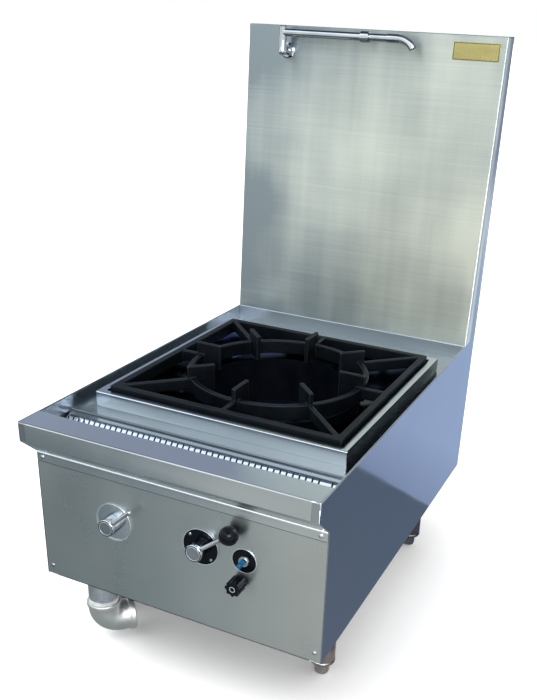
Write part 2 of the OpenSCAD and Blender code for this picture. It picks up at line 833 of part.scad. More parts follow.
// Small angle tap for the pilot flame
module pilot_valve_body() {
    half = 11;
    color(brass) from_panel() difference() {
        union() {
            rod_y(pilot_x, pilot_z, sheet_t, tap_y, 11);
            rod_y(pilot_x, pilot_z, -2, sheet_t, 8);
            box([pilot_x - half, tap_y - half + 4, pilot_z - half],
                [pilot_x + half, tap_y + half + 4, pilot_z + half]);
            rod_y(pilot_x, pilot_z, tap_y + half, tap_back + 6, 6);
            bar([pilot_x, manifold_y, pilot_z - half], [pilot_x, manifold_y, pilot_z - pilot_inlet], 7);
        }
        rod_y(pilot_x, pilot_z, -5, tap_y - 4, 3 + running);
        rod_y(pilot_x, pilot_z, tap_y + 8, tap_back + 7, 3);
        bar([pilot_x, manifold_y, pilot_z - half + 3], [pilot_x, manifold_y, pilot_z - pilot_inlet - 1], 4);
    }
}

// Fluted knob with its spindle
module pilot_knob() {
    lobes = 8;
    r = 15;
    color(black) from_panel() translate([pilot_x, 0, pilot_z]) rotate([90, 0, 0]) {
        difference() {
            translate([0, 0, 4]) cylinder(r = r - 1.4, h = 29);
            for (i = [0 : lobes - 1]) {
                rotate([0, 0, (i + 0.5) * 360 / lobes]) translate([r + 0.6, 0, 7]) cylinder(r = 3.2, h = 30);
            }
            translate([0, 0, 31]) cylinder(r = 7.6, h = 5);
        }
        for (i = [0 : lobes - 1]) {
            rotate([0, 0, i * 360 / lobes]) translate([r - 4.4, -1.9, 7]) cube([4.4, 3.8, 26]);
        }
        translate([0, 0, 30.5]) difference() {
            cylinder(r = 7, h = 2.9);
            translate([0, 0, 1.2]) cylinder(r = 4.6, h = 3);
        }
        translate([0, 0, -tap_y + 6]) cylinder(r = 3, h = tap_y);
    }
}

module pilot_tube() {
    path = [[pilot_x, tap_back + 6, pilot_z], [pilot_x, pilot_riser_y, pilot_z],
        [pilot_x, pilot_riser_y, pilot_head_z]];
    color(copper) from_panel() pipe(path, 3, 0.8, 14);
}

// Pilot head with its hood, beside the main burner
module pilot_burner() {
    color(brass) from_panel() translate([pilot_x, pilot_riser_y, pilot_head_z]) difference() {
        union() {
            cylinder(r = 6, h = 12, $fn = 6);
            translate([0, 0, 12]) cylinder(r = 4.5, h = 12);
        }
        translate([0, 0, -1]) cylinder(r = 1, h = 20);
        translate([-10, 0, 19]) rotate([0, 90, -30]) cylinder(r = 2, h = 12);
    }
}

module igniter_disc() {
    color(black) from_panel() difference() {
        rod_y(igniter_x, igniter_z, -1.2, 0, 24);
        rod_y(igniter_x, igniter_z, -5, 5, 9);
    }
}

// Igniter barrel behind the panel with its bush and nut in front
module igniter_body() {
    color(bright) from_panel() difference() {
        union() {
            rod_y(igniter_x, igniter_z, sheet_t, 62, 11);
            rod_y(igniter_x, igniter_z, -4, sheet_t, 8.8);
            cone_y(igniter_x, igniter_z, -6, -1.2, 9.4, 11.2);
        }
        rod_y(igniter_x, igniter_z, -8, 26, 4.5 + running);
    }
}

module igniter_button() {
    color("#1d6fa5") from_panel() {
        rod_y(igniter_x, igniter_z, -21, 15, 4.5);
        cone_y(igniter_x, igniter_z, -22, -21, 3.6, 4.5);
    }
}

module spark_lead() {
    color("#8d3b32") from_panel() rod_y(igniter_x, igniter_z, 62, 292, 3);
}

// Ceramic spark plug through the drum wall with its bent rod
module spark_electrode() {
    color("#ece8dd") from_panel() {
        rod_y(igniter_x, igniter_z, 292, 325, 4.5);
        route([[igniter_x, 325, igniter_z], [igniter_x, spark_y, igniter_z],
            [igniter_x, spark_y, pilot_head_z + 18]], 1.25, 5);
    }
}

// Water inlet from the back, along the left side and round the drain pipe to the tap
module water_inlet_pipe() {
    shoulder_y = pipe_end_y - pipe_thread;
    run = [[-pipe_x, water_run_y, manifold_z], [water_x, water_run_y, manifold_z],
        [water_x, manifold_y, manifold_z], [water_x, manifold_y, water_z - tap_inlet]];
    color(galv) from_panel() difference() {
        union() {
            route(concat([[-pipe_x, shoulder_y, manifold_z]], run), water_pipe_r, water_bend_r);
            bar([-pipe_x, shoulder_y - 1, manifold_z], [-pipe_x, pipe_end_y, manifold_z], water_thread_r);
        }
        route(concat([[-pipe_x, pipe_end_y, manifold_z]], run), water_pipe_r - 2, water_bend_r);
    }
}

// Riser from the water tap to the back and up inside the splash back to the spout's elbow
module water_riser_pipe() {
    path = [[water_x, tap_back + 10, water_z], [water_x, water_run_y, water_z],
        [riser_x, water_run_y, water_z],
        [riser_x, riser_y, water_z], [riser_x, riser_y, faucet_z], [faucet_x - 9.5, riser_y, faucet_z]];
    color(copper) from_panel() pipe(path, riser_pipe_r, 1, bend_r);
}

// Splash back's front, sides and top in one folded sheet
module splash_front() {
    color(steel) from_panel() difference() {
        along_x(-half_w, half_w) polygon([[face_y(body_h), body_h], [face_y(splash_top), splash_top],
            [body_d, splash_top], [body_d, body_h]]);
        along_x(-inner_x, inner_x) polygon([[face_y(body_h - 1) + sheet_t, body_h - 1],
            [face_y(splash_top - sheet_t) + sheet_t, splash_top - sheet_t],
            [body_d + 1, splash_top - sheet_t], [body_d + 1, body_h - 1]]);
        rod_y(faucet_x, faucet_z, splash_y, riser_y, 8.4);
    }
}

module splash_back() {
    color(steel) from_panel()
        box([-inner_x, body_d - sheet_t, body_h], [inner_x, body_d, splash_top - sheet_t]);
}

// Two upright angles that tie the splash back to the base frame
module splash_brackets() {
    t = 3;
    h = bracket_w / 2;
    tab = 20;
    foot = frame_z + tube_h;
    web_top = splash_top - 111;
    flange_top = body_h + 208;
    color(galv) from_panel() for (x = [-bracket_x, bracket_x]) {
        box([x - h, riser_y - h, foot], [x - h + t, riser_y + 10, web_top]);
        box([x - h, riser_y - h, foot], [x + h, riser_y - h + t, flange_top]);
        for (z = [flange_top - 4 * tab, web_top - tab]) {
            box([x - h, riser_y + 9, z], [x - h + tab, body_d - sheet_t, z + tab]);
        }
    }
}

// Bare nameplate near the splash back's top corner
module badge_plate() {
    w = 100;
    h = 35;
    z = splash_top - 31.4;
    color(brass) from_panel() translate([half_w - 64.5, face_y(z), z]) rotate([-lean_angle, 0, 0])
        translate([-w / 2, -0.8, -h / 2]) cube([w, 0.8, h]);
}

// Wall flange of the spout, flat on the leaning face, with its nut
module faucet_flange() {
    color(bright) from_panel() difference() {
        union() {
            translate([faucet_x, face_y(faucet_z), faucet_z]) rotate([90 - lean_angle, 0, 0]) {
                cylinder(r = 18, h = 2.5);
                translate([0, 0, 2.5]) cylinder(r1 = 17, r2 = 13, h = 3);
            }
            translate([faucet_x, face_y(faucet_z) - 5, faucet_z]) rotate([90, 0, 0])
                cylinder(r = 13, h = 8, $fn = 6);
        }
        rod_y(faucet_x, faucet_z, faucet_y, riser_y, 8 + running);
    }
}

// Fixed elbow of the spout: nipple through the wall, inner block and lower riser
module faucet_body() {
    block = 9.5;
    color(bright) from_panel() difference() {
        union() {
            rod_y(faucet_x, faucet_z, faucet_y, riser_y - block, 8);
            box([faucet_x - block, riser_y - block, faucet_z - block],
                [faucet_x + block, riser_y + block, faucet_z + block]);
            translate([faucet_x, faucet_y, faucet_z]) cylinder(r = 8.5, h = swivel_z - faucet_z - 0.4);
            translate([faucet_x, faucet_y, faucet_z]) sphere(r = 9.5);
        }
        translate([faucet_x, faucet_y, faucet_z + 4]) cylinder(r = 5 + running, h = 40);
        rod_y(faucet_x, faucet_z, faucet_y, riser_y, 4);
        bar([faucet_x - block - 1, riser_y, faucet_z], [faucet_x, riser_y, faucet_z], 5);
    }
}

// Swinging arm: spigot in the lower riser, upper riser and the long pipe
module faucet_pipe() {
    color(bright) from_panel() {
        translate([faucet_x, faucet_y, swivel_z - 18]) cylinder(r = 5, h = 20);
        translate([faucet_x, faucet_y, swivel_z]) cylinder(r = 8, h = splash_top - swivel_z - 2);
        translate([faucet_x, faucet_y, splash_top - 2]) cylinder(r1 = 8, r2 = 6, h = 2);
        translate([faucet_x, faucet_y, arm_z]) rotate([0, 90, 0]) cylinder(r = 7.8, h = arm_reach);
    }
}

// Spout: collar nut, thinner pipe, sleeve and the nozzle that curves down
module faucet_spout() {
    curve = 42;
    color(bright) from_panel() translate([faucet_x + arm_reach, faucet_y, arm_z]) {
        rotate([0, 90, 0]) cylinder(r = 11, h = 19, $fn = 24);
        rotate([0, 90, 0]) cylinder(r = 7.3, h = 62);
        translate([60, 0, 0]) rotate([0, 90, 0]) cylinder(r = 8.6, h = 25.5);
        translate([84, 0, -curve]) rotate([90, 0, 0]) difference() {
            rotate([0, 0, 35]) rotate_extrude(angle = 55) translate([curve, 0]) circle(r = 7.8);
            rotate([0, 0, 34]) rotate_extrude(angle = 20) translate([curve, 0]) circle(r = 6);
        }
    }
}

// Drain pipe from the gutter down into the elbow
module drain_pipe() {
    r = drain_d / 2;
    foot = elbow_z + elbow_bend + 5;
    color(galv) from_panel() translate([drain_x, drain_y, 0]) difference() {
        translate([0, 0, foot]) cylinder(r = r, h = gutter_z - foot, $fn = 96);
        translate([0, 0, foot - 1]) cylinder(r = r - 2, h = gutter_z, $fn = 96);
    }
}

// Cast drain elbow: hollow quarter bend with a beaded socket at each mouth
module drain_elbow() {
    r = 32;
    hole = 28;
    bead = 34.5;
    top = 49.5;
    reach = elbow_out;
    socket = drain_d / 2 + running;
    thread = drain_d / 2 - 0.5;
    color(galv) from_panel() translate([drain_x, drain_y, elbow_z]) rotate([0, 0, outlet_turn]) {
        multmatrix([[-1, 0, 0, elbow_bend], [0, 0, 1, 0], [0, -1, 0, elbow_bend], [0, 0, 0, 1]])
            rotate_extrude(angle = 90) translate([elbow_bend, 0]) difference() {
                circle(r = r);
                circle(r = hole);
            }
        rotate_extrude() polygon([[hole, elbow_bend], [r, elbow_bend], [r, top - 12.5], [bead, top - 10.5],
            [bead, top - 2], [bead - 1.6, top], [socket, top], [socket, elbow_bend + 5],
            [hole, elbow_bend + 5]]);
        rotate([0, 90, 0]) rotate_extrude() polygon([[hole, elbow_bend], [r, elbow_bend], [r, reach - 13],
            [bead, reach - 11], [bead, reach - 2], [bead - 1.6, reach], [thread, reach],
            [thread, reach - 18], [hole, reach - 20]]);
    }
}

base_frame();
leg_front_left();
leg_front_right();
leg_rear_left();
leg_rear_right();
foot_front_left();
foot_front_right();
foot_rear_left();
foot_rear_right();
side_panel_left();
side_panel_right();
back_panel();
front_panel();
head_rail();
panel_screws();
deck();
pot_curb();
rear_upstand();
gutter_trough();
gutter_strainer();
spill_pan();
burner_drum();
trivet_frame();
trivet_ring();
trivet_arms();
burner_base();
burner_cap();
burner_support();
air_shutter();
gas_injector();
gas_feed_pipe();
gas_manifold();
gas_valve_body();
gas_escutcheon();
gas_lever();
gas_lever_ball();
pilot_valve_body();
pilot_knob();
pilot_tube();
pilot_burner();
igniter_disc();
igniter_body();
igniter_button();
spark_lead();
spark_electrode();
water_valve_body();
water_escutcheon();
water_lever();
water_inlet_pipe();
water_riser_pipe();
splash_front();
splash_back();
splash_brackets();
badge_plate();
faucet_flange();
faucet_body();
faucet_pipe();
faucet_spout();
drain_pipe();
drain_elbow();
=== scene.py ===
"""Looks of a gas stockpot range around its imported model. Metres, +Z up, the front faces -Y."""
import json
import math

import bmesh
import bpy
from mathutils import Matrix, Vector


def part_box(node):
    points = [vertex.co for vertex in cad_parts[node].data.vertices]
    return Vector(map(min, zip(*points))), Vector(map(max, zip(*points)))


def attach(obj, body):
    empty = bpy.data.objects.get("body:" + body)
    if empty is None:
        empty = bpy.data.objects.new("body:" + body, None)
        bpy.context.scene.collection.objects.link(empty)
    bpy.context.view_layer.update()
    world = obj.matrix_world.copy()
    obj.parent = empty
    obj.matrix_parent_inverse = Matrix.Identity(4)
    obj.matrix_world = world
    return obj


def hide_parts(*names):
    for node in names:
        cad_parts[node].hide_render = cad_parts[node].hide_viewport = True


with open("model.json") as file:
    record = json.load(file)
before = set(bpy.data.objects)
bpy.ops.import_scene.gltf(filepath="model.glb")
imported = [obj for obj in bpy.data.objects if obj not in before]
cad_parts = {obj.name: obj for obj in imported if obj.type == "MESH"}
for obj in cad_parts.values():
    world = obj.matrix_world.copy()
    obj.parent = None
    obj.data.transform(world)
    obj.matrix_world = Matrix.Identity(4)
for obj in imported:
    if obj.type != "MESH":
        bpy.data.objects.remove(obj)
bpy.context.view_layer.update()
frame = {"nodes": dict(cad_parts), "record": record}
nodes = frame["nodes"]

MM = 0.001
PANEL_Y = -0.41375
BURNER_Y = -0.00275
SHEET = 1.5 * MM
HEM_Z = 0.436
HEM_H = 19 * MM
HUB_REACH = 28 * MM


# Camera
PHOTO_H = 700
FOCAL_PX = 877.62
SENSOR = 36.0

camera_data = bpy.data.cameras.new("camera")
camera_data.sensor_fit = "VERTICAL"
camera_data.sensor_width = SENSOR
camera_data.sensor_height = SENSOR
camera_data.lens = FOCAL_PX / PHOTO_H * SENSOR
camera_data.shift_x = -0.0511
camera_data.shift_y = 0.1168
camera_data.clip_end = 200.0
camera = bpy.data.objects.new("camera", camera_data)
camera.location = (0.7463, -1.55055, 1.1963)
camera.rotation_euler = tuple(math.radians(a) for a in (64.5233, -2.4585, 24.9075))
bpy.context.scene.collection.objects.link(camera)
bpy.context.scene.camera = camera


# Node graphs
class Graph:
    """A material's nodes, with short calls for what the materials here share."""

    def __init__(self, name):
        self.material = bpy.data.materials.new(name)
        self.material.use_nodes = True
        self.tree = self.material.node_tree
        self.tree.nodes.clear()
        self.out = self.add("ShaderNodeOutputMaterial")
        self.bsdf = self.add("ShaderNodeBsdfPrincipled")
        self.link(self.bsdf.outputs[0], self.out.inputs[0])
        self.place = self.add("ShaderNodeTexCoord").outputs["Object"]

    def add(self, kind, **inputs):
        made = self.tree.nodes.new(kind)
        for key, value in inputs.items():
            made.inputs[key.replace("_", " ")].default_value = value
        return made

    def link(self, source, target):
        self.tree.links.new(source, target)

    def set(self, **inputs):
        for key, value in inputs.items():
            self.bsdf.inputs[key.replace("_", " ")].default_value = value

    def noise(self, stretch, detail=3.0, roughness=0.55, shift=(0, 0, 0)):
        mapping = self.add("ShaderNodeMapping")
        mapping.inputs["Scale"].default_value = stretch
        mapping.inputs["Location"].default_value = shift
        self.link(self.place, mapping.inputs["Vector"])
        made = self.add("ShaderNodeTexNoise", Scale=1.0, Detail=detail, Roughness=roughness)
        self.link(mapping.outputs[0], made.inputs["Vector"])
        return made.outputs[0]

    def part(self, vector, axis):
        """One of the three numbers of a vector: 0 for X, 1 for Y, 2 for Z."""
        made = self.add("ShaderNodeSeparateXYZ")
        self.link(vector, made.inputs[0])
        return made.outputs[axis]

    def facing(self, axis):
        """How far the face itself, without bump, looks along an axis."""
        return self.part(self.add("ShaderNodeNewGeometry").outputs["True Normal"], axis)

    def cells(self, scale):
        made = self.add("ShaderNodeTexVoronoi", Scale=scale)
        self.link(self.place, made.inputs["Vector"])
        return made

    def ramp(self, value, stops):
        made = self.add("ShaderNodeValToRGB")
        ramp = made.color_ramp
        while len(ramp.elements) < len(stops):
            ramp.elements.new(0.5)
        for element, (at, colour) in zip(ramp.elements, stops):
            element.position = at
            element.color = (*colour, 1.0) if len(colour) == 3 else colour
        self.link(value, made.inputs[0])
        return made.outputs[0]

    def span(self, value, low, high, start=0.3, end=0.7):
        made = self.add("ShaderNodeMapRange")
        made.inputs["From Min"].default_value = start
        made.inputs["From Max"].default_value = end
        made.inputs["To Min"].default_value = low
        made.inputs["To Max"].default_value = high
        self.link(value, made.inputs[0])
        return made.outputs[0]

    def math(self, operation, a, b):
        made = self.add("ShaderNodeMath")
        made.operation = operation
        for socket, value in zip(made.inputs, (a, b)):
            if isinstance(value, (int, float)):
                socket.default_value = value
            else:
                self.link(value, socket)
        return made.outputs[0]

    def mix(self, factor, a, b):
        made = self.add("ShaderNodeMix")
        made.data_type = "RGBA"
        for socket, value in zip((made.inputs[0], made.inputs[6], made.inputs[7]), (factor, a, b)):
            if isinstance(value, (int, float)):
                socket.default_value = value
            elif isinstance(value, tuple):
                socket.default_value = (*value, 1.0)
            else:
                self.link(value, socket)
        return made.outputs[2]

    def bump(self, height, distance, strength=1.0, normal=None):
        made = self.add("ShaderNodeBump", Strength=strength, Distance=distance)
        self.link(height, made.inputs["Height"])
        if normal is not None:
            self.link(normal, made.inputs["Normal"])
        return made.outputs[0]

    def colour(self, value):
        self.link(value, self.bsdf.inputs["Base Color"])

    def roughness(self, value):
        self.link(value, self.bsdf.inputs["Roughness"])

    def normal(self, value):
        self.link(value, self.bsdf.inputs["Normal"])


# Height below which the splash is painted lighter: painted reflection.
REFLECTION_LEAN_TOP = 0.87
SHEET_WAVE = 0.0006
# Painted shade: near-black colour laid round a place.
ROUND_SHADE_COLOUR = (0.002, 0.003, 0.006)
GRAIN = {
    "x": ((5, 420, 420), (2, 150, 150)),
    "y": ((420, 5, 420), (150, 2, 150)),
    "z": ((420, 420, 5), (150, 150, 2)),
}


def steel(name, light, dark, rough, grain, smear=0.0, cloud=3.2, reflection_lean=0.0, level_shade=1.0,
          low=None, right=None, round_shade=None):
    """Brushed sheet: fine streaks in colour and gloss along one axis, soft clouds, slight waves.

    Smear draws reflections out across the grain, which runs along X there. The lean argument
    paints reflection into the colour: the sheet lighter towards +X and towards its foot, with faint
    upright streaks. The level_shade argument paints shade on level faces. The low argument is the top,
    colour and foot of a band painted lighter, a painted reflection. The right argument paints shade
    on the faces that look along +X. The stained argument paints shade round a place, between two
    distances from it."""
    g = Graph(name)
    fine = g.noise(GRAIN[grain][0], detail=2.0)
    broad = g.noise(GRAIN[grain][1], detail=2.0, shift=(3.1, 1.7, 5.3))
    streaks = g.mix(0.4, fine, broad)
    clouds = g.noise((cloud, cloud, cloud), detail=2.5, shift=(7.7, 2.9, 4.1))
    wipes = g.noise((9, 9, 4), detail=3.0, roughness=0.5)
    tone = g.math("ADD", g.math("MULTIPLY", clouds, 0.85), g.math("MULTIPLY", streaks, 0.15))
    # Painted reflection: the sheet lighter towards +X and towards its foot, with faint upright streaks.
    if reflection_lean:
        marks = g.noise((16, 16, 0.7), detail=3.0, shift=(2.3, 5.1, 0.6))
        below = g.math("SUBTRACT", REFLECTION_LEAN_TOP, g.part(g.place, 2))
        tone = g.math("ADD", tone, g.math("MULTIPLY", g.part(g.place, 0), reflection_lean))
        tone = g.math("ADD", tone, g.math("MULTIPLY", below, reflection_lean * 0.45))
        tone = g.math("ADD", tone, g.math("MULTIPLY", g.math("SUBTRACT", marks, 0.5), 0.22))
    ends = (0.42, 0.68) if reflection_lean else (0.34, 0.66)
    sheet = g.ramp(tone, [(ends[0], dark), (ends[1], light)])
    # Painted shade: level faces painted darker than the rest of the sheet.
    if level_shade < 1.0:
        level = g.math("GREATER_THAN", g.facing(2), 0.97)
        sheet = g.mix(level, sheet, g.ramp(tone, [(0.3, [c * level_shade for c in dark]),
                                                  (0.7, [c * level_shade for c in light])]))
    # Painted reflection: the band between foot and top takes the given lighter colour.
    if low:
        top, colour, foot = low
        under = g.math("LESS_THAN", g.part(g.place, 2), top)
        over = g.math("GREATER_THAN", g.part(g.place, 2), foot)
        sheet = g.mix(g.math("MULTIPLY", under, over), sheet, colour)
    # Painted shade: faces that look along +X take the given darker colour.
    if right:
        sheet = g.mix(g.math("GREATER_THAN", g.facing(0), 0.7), sheet, right)
    # Painted shade: near black round a place, fading out between two distances from it.
    if round_shade:
        middle, near, far = round_shade
        around = g.add("ShaderNodeVectorMath")
        around.operation = "DISTANCE"
        g.link(g.place, around.inputs[0])
        around.inputs[1].default_value = middle
        sheet = g.mix(g.span(around.outputs["Value"], 1.0, 0.0, near, far), sheet, ROUND_SHADE_COLOUR)
    g.colour(sheet)
    worn = g.math("ADD", g.math("MULTIPLY", streaks, 0.12), g.math("MULTIPLY", wipes, 0.88))
    g.roughness(g.span(worn, rough - 0.03, rough + 0.04))
    g.normal(g.bump(g.noise((3.4, 3.4, 2.2), detail=1.0, shift=(0.4, 0.2, 9.1)), SHEET_WAVE, 1.0))
    g.set(Metallic=1.0)
    if smear:
        tangent = g.add("ShaderNodeTangent")
        tangent.direction_type = "RADIAL"
        tangent.axis = "X"
        g.link(tangent.outputs[0], g.bsdf.inputs["Tangent"])
        g.set(Anisotropic=smear)
    return g.material


def chrome_finish(name, light, dark, rough):
    """Polished plating with soft smears and a faint unevenness."""
    g = Graph(name)
    smears = g.noise((60, 60, 60), detail=4.0, roughness=0.65)
    clouds = g.noise((18, 18, 18), detail=2.0, shift=(2, 5, 1))
    g.colour(g.ramp(clouds, [(0.3, dark), (0.7, light)]))
    g.roughness(g.span(smears, rough * 0.6, rough * 1.5))
    g.normal(g.bump(g.noise((240, 240, 240), detail=2.0), 0.00006, 0.3))
    g.set(Metallic=1.0, Specular_Tint=(0.10, 0.12, 0.15, 1))
    return g.material


def zinc_finish(name, light, dark, rough):
    """Dull zinc with faint spangle and dry white bloom."""
    g = Graph(name)
    spangle = g.cells(160.0).outputs["Distance"]
    stains = g.noise((22, 22, 22), detail=5.0, roughness=0.65)
    tone = g.math("ADD", g.math("MULTIPLY", spangle, 0.35), g.math("MULTIPLY", stains, 0.8))
    g.colour(g.ramp(tone, [(0.35, dark), (0.75, light)]))
    g.roughness(g.span(stains, rough - 0.08, rough + 0.12))
    g.normal(g.bump(g.noise((420, 420, 420), detail=3.0), 0.0001, 0.4))
    g.set(Metallic=0.9)
    return g.material


def iron_finish(name, light, dark, rough):
    """Sand-cast iron with an oily black bake: pebbled skin, rubbed brighter in patches."""
    g = Graph(name)
    sand = g.noise((620, 620, 620), detail=4.0, roughness=0.6)
    lumps = g.noise((130, 130, 130), detail=3.0, shift=(1.3, 4.4, 2.2))
    rubbed = g.noise((16, 16, 16), detail=5.0, roughness=0.6, shift=(5, 1, 3))
    skin = g.ramp(rubbed, [(0.36, dark), (0.66, light)])
    # Painted highlight: convex edges of the casting painted lighter.
    edges = g.span(g.add("ShaderNodeNewGeometry").outputs["Pointiness"], 0.0, 1.0, 0.515, 0.60)
    g.colour(g.mix(edges, skin, (0.045, 0.056, 0.068)))
    g.roughness(g.span(g.mix(0.5, sand, rubbed), rough - 0.1, rough + 0.16))
    g.normal(g.bump(sand, 0.00022, 0.55, g.bump(lumps, 0.0009, 0.4)))
    g.set(Metallic=0.0, Specular_IOR_Level=0.16)
    return g.material


def gloss_finish(name, light, dark, rough):
    """Smooth plastic or enamel with finger smudges in its gloss."""
    g = Graph(name)
    smudge = g.noise((70, 70, 70), detail=4.0, roughness=0.6)
    fade = g.noise((25, 25, 25), detail=2.0, shift=(3, 3, 1))
    g.colour(g.ramp(fade, [(0.3, dark), (0.7, light)]))
    g.roughness(g.span(smudge, rough * 0.6, rough * 1.9))
    g.normal(g.bump(g.noise((300, 300, 300), detail=2.0), 0.00005, 0.25))
    g.set(Specular_IOR_Level=0.16)
    return g.material


def metal_finish(name, light, dark, rough, scale=120.0):
    """Turned, drawn or cast metal, its small marks this many to the metre."""
    g = Graph(name)
    marks = g.noise((scale, scale, scale), detail=4.0, roughness=0.6)
    tone = g.noise((14, 14, 14), detail=4.0, shift=(2, 2, 7))
    g.colour(g.ramp(tone, [(0.32, dark), (0.68, light)]))
    g.roughness(g.span(marks, rough - 0.07, rough + 0.1))
    g.normal(g.bump(marks, 0.00012, 0.35))
    g.set(Metallic=1.0)
    return g.material


def soot_finish(name):
    """Iron under soot and scale, almost black; its blue cast and depth of black are painted shade."""
    g = Graph(name)
    scale_marks = g.noise((34, 34, 14), detail=6.0, roughness=0.65)
    g.colour(g.ramp(scale_marks, [(0.35, (0.0008, 0.0022, 0.0062)), (0.7, (0.0022, 0.0045, 0.011))]))
    g.roughness(g.span(scale_marks, 0.42, 0.7))
    g.normal(g.bump(g.noise((260, 260, 260), detail=3.0), 0.00015, 0.5))
    g.set(Metallic=0.0, Specular_IOR_Level=0.08)
    return g.material


LINE_INNER = (0.479, 0.44)
LINE_OUTER = (0.49, 0.47)


def plate_finish(name, light, dark, rim):
    """Satin plate with a dark line just inside its edge."""
    g = Graph(name)
    box = g.add("ShaderNodeTexCoord").outputs["Generated"]
    near_x = g.math("ABSOLUTE", g.math("SUBTRACT", g.part(box, 0), 0.5), 0)
    near_z = g.math("ABSOLUTE", g.math("SUBTRACT", g.part(box, 2), 0.5), 0)
    line, edge = [g.math("MAXIMUM", g.math("GREATER_THAN", near_x, x), g.math("GREATER_THAN", near_z, z))
                  for x, z in (LINE_INNER, LINE_OUTER)]
    tone = g.ramp(g.noise((9, 9, 30), detail=3.0), [(0.3, dark), (0.7, light)])
    g.colour(g.mix(g.math("SUBTRACT", line, edge), tone, rim))
    brushed = g.noise((900, 900, 40), detail=2.0)
    g.roughness(g.span(brushed, 0.22, 0.36))
    g.normal(g.bump(brushed, 0.00004, 0.3))
    g.set(Metallic=1.0)
    return g.material


def tape_finish(name):
    """Wound thread tape: white, a little ragged, in thin steps."""
    g = Graph(name)
    wraps = g.noise((30, 30, 900), detail=3.0, roughness=0.6)
    folds = g.noise((140, 140, 140), detail=4.0, roughness=0.6)
    g.colour(g.ramp(folds, [(0.3, (0.78, 0.84, 0.88)), (0.55, (0.96, 0.98, 0.99))]))
    g.roughness(g.span(wraps, 0.3, 0.5))
    g.normal(g.bump(wraps, 0.0003, 0.6, g.bump(folds, 0.0006, 0.5)))
    return g.material


def ceramic_finish(name):
    """Off-white glazed insulator."""
    g = Graph(name)
    craze = g.noise((90, 90, 90), detail=4.0)
    g.colour(g.ramp(craze, [(0.3, (0.70, 0.66, 0.58)), (0.7, (0.84, 0.81, 0.74))]))
    g.roughness(g.span(craze, 0.16, 0.34))
    g.set(Coat_Weight=0.3)
    return g.material


LIGHT = (0.60, 0.62, 0.60)
DARK = (0.50, 0.53, 0.53)
# Top of the head rail's band of painted reflection.
LIP_FOOT = 0.462
BURNER_MIDDLE = (0.0, BURNER_Y, 0.42)
steel_front = steel("steel_front", LIGHT, DARK, 0.29, "x", 0.75)
steel_back = steel("steel_back", LIGHT, DARK, 0.3, "z")
# Painted reflection: the hem's top and the lip's underside, up to LIP_FOOT, painted near white.
steel_rail = steel("steel_rail", (0.73, 0.75, 0.75), (0.65, 0.68, 0.69), 0.22, "x", 0.6,
                   low=(LIP_FOOT, (0.97, 0.98, 0.98), HEM_Z - 3.5 * MM))
# Painted shade: the deck is a darker copy of the sheet steel.
shaded_deck_steel = steel("shaded_deck_steel", (0.37, 0.395, 0.41), (0.30, 0.33, 0.345), 0.16, "x")
# Painted shade: the trough is a near-black copy of the sheet steel.
shaded_gutter_steel = steel("shaded_gutter_steel", (0.09, 0.10, 0.11), (0.05, 0.055, 0.06), 0.3, "x")
steel_side = steel("steel_side", (0.54, 0.56, 0.59), (0.49, 0.52, 0.56), 0.07, "y")
# Painted shade: faces along +X, inside the left panel, painted darker.
steel_wall = steel("steel_wall", (0.54, 0.56, 0.59), (0.49, 0.52, 0.56), 0.24, "y",
                   right=(0.25, 0.27, 0.29))
# Painted reflection: the splash painted lighter towards +X and towards its foot.
steel_splash = steel("steel_splash", (0.74, 0.76, 0.69), (0.33, 0.37, 0.38), 0.32, "x", 0.9, 2.4, reflection_lean=0.5)
# Painted light and shade: a lighter copy of the sheet steel, level faces painted darker, faces along +X
# near black.
lit_and_shaded_curb_steel = steel("lit_and_shaded_curb_steel", (0.86, 0.89, 0.91), (0.72, 0.77, 0.80), 0.22, "x", level_shade=0.7,
                   right=(0.05, 0.056, 0.064))
steel_rear = steel("steel_rear", (0.66, 0.69, 0.71), (0.56, 0.60, 0.63), 0.32, "x")
# Painted shade: the pan is a dark blue copy of the sheet steel, near black round the burner.
shaded_pan_steel = steel("shaded_pan_steel", (0.17, 0.19, 0.27), (0.09, 0.11, 0.17), 0.12, "x",
                  round_shade=(BURNER_MIDDLE, 0.235, 0.265))
# Painted shade: the strainer's level faces painted darker.
slot_steel = steel("strainer_steel", (0.60, 0.65, 0.70), (0.52, 0.57, 0.62), 0.16, "x", level_shade=0.62)
chrome = chrome_finish("chrome", (0.60, 0.62, 0.64), (0.46, 0.48, 0.51), 0.07)
plate_chrome = chrome_finish("plate_chrome", (0.84, 0.87, 0.89), (0.74, 0.77, 0.79), 0.16)
zinc = zinc_finish("dull_zinc", (0.66, 0.68, 0.69), (0.44, 0.46, 0.48), 0.42)
leg_metal = metal_finish("leg_tube", (0.40, 0.35, 0.32), (0.24, 0.20, 0.185), 0.27)
foot_metal = metal_finish("foot_cup", (0.44, 0.40, 0.38), (0.24, 0.215, 0.21), 0.38)
# Painted light: the elbow's colour raised near white to make up for the shade it stands in.
lit_elbow_metal = metal_finish("cast_elbow", (0.96, 0.93, 0.87), (0.74, 0.70, 0.64), 0.42, 300.0)
# Burner base, cap and drum: soot, with painted shade in the blue-black.
black_iron = soot_finish("sooted_iron")
iron = iron_finish("cast_iron", (0.0045, 0.0088, 0.0135), (0.0012, 0.0032, 0.0056), 0.44)
soot = soot_finish("soot")
black = gloss_finish("gloss_black", (0.0045, 0.0065, 0.0115), (0.002, 0.003, 0.006), 0.1)
blue = gloss_finish("blue_button", (0.012, 0.20, 0.42), (0.006, 0.12, 0.30), 0.2)
brass = metal_finish("brass", (0.72, 0.56, 0.30), (0.56, 0.42, 0.20), 0.26)
gold = plate_finish("satin_gold", (0.46, 0.41, 0.19), (0.36, 0.30, 0.12), (0.05, 0.04, 0.02))
tape = tape_finish("thread_tape")
